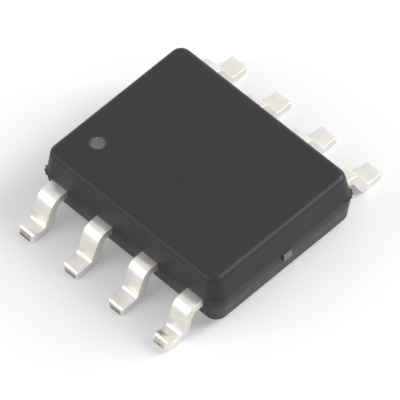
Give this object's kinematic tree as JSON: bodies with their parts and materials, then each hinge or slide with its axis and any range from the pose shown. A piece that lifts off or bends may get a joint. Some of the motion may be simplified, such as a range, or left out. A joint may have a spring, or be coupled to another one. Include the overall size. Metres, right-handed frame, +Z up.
{
  "type": "integrated circuit in a small-outline package",
  "caption": "Black moulded chip package with two rows of gull-wing solder leads, a round pin 1 mark, and a lead frame, die and bond wires inside.",
  "frame": {"origin": "middle of the package on the plane that the feet stand on", "axes": "+X along the rows of leads from pin 1 to pin 4, +Y across the package from the row of pins 1 to 4 to the row of pins 5 to 8, +Z up away from the board"},
  "size_m": [0.005, 0.006, 0.0014],
  "materials": {
    "mould_epoxy": "matt moulded black epoxy, fine grained",
    "tinned_lead": "matt tin plating on copper alloy",
    "paddle_copper": "rolled copper alloy",
    "silver_epoxy": "cured silver-filled adhesive",
    "silicon": "polished silicon",
    "bond_gold": "drawn gold wire"
  },
  "bodies": {
    "root": {"encapsulant": "mould_epoxy", "lead_1": "tinned_lead", "lead_2": "tinned_lead", "lead_3": "tinned_lead", "lead_4": "tinned_lead", "lead_5": "tinned_lead", "lead_6": "tinned_lead", "lead_7": "tinned_lead", "lead_8": "tinned_lead", "die_paddle": "paddle_copper", "die_attach": "silver_epoxy", "die": "silicon", "bond_wire_1": "bond_gold", "bond_wire_2": "bond_gold", "bond_wire_3": "bond_gold", "bond_wire_4": "bond_gold", "bond_wire_5": "bond_gold", "bond_wire_6": "bond_gold", "bond_wire_7": "bond_gold", "bond_wire_8": "bond_gold"}
  },
  "joints": []
}
